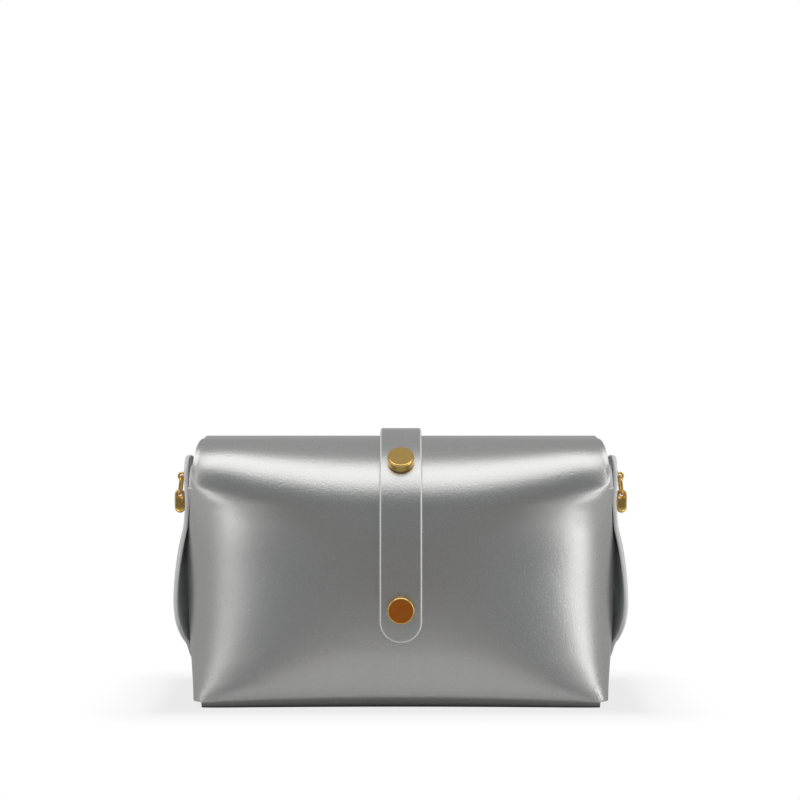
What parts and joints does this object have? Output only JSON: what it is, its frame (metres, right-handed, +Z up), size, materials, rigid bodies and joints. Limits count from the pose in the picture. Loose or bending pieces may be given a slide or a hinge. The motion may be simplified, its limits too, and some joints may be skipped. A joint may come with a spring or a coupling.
{
  "type": "mini handbag",
  "caption": "Small boxy handbag folded from one stiff metallic leather sheet, with a studded closing strap over the top and a swinging ring with a hanging link at each side.",
  "frame": {"origin": "middle of the flat base, on the surface it stands on", "axes": "+Z up, -Y out of the face with the two studs, +X to the right as that face is seen; the width along X is the longest extent"},
  "size_m": [0.196, 0.0867, 0.1154],
  "materials": {
    "silver_leather": "satin metallic silver coat with a fine grain",
    "gold_metal": "polished gold-coloured metal"
  },
  "bodies": {
    "bag": {"hide": "silver_leather", "strap": "silver_leather", "stud_upper": "gold_metal", "stud_lower": "gold_metal", "stud_far": "gold_metal", "post_left": "gold_metal", "post_right": "gold_metal"},
    "left_ring": {"ring_left": "gold_metal", "link_left": "gold_metal"},
    "right_ring": {"ring_right": "gold_metal", "link_right": "gold_metal"}
  },
  "joints": [
    {"name": "ring_swing_left", "type": "hinge", "parent": "bag", "child": "left_ring", "pos_m": [-0.0949, 0.001, 0.095], "axis": [0, 1, 0], "range_deg": [0, 100]},
    {"name": "ring_swing_right", "type": "hinge", "parent": "bag", "child": "right_ring", "pos_m": [0.0949, 0.001, 0.095], "axis": [0, -1, 0], "range_deg": [0, 100]}
  ]
}
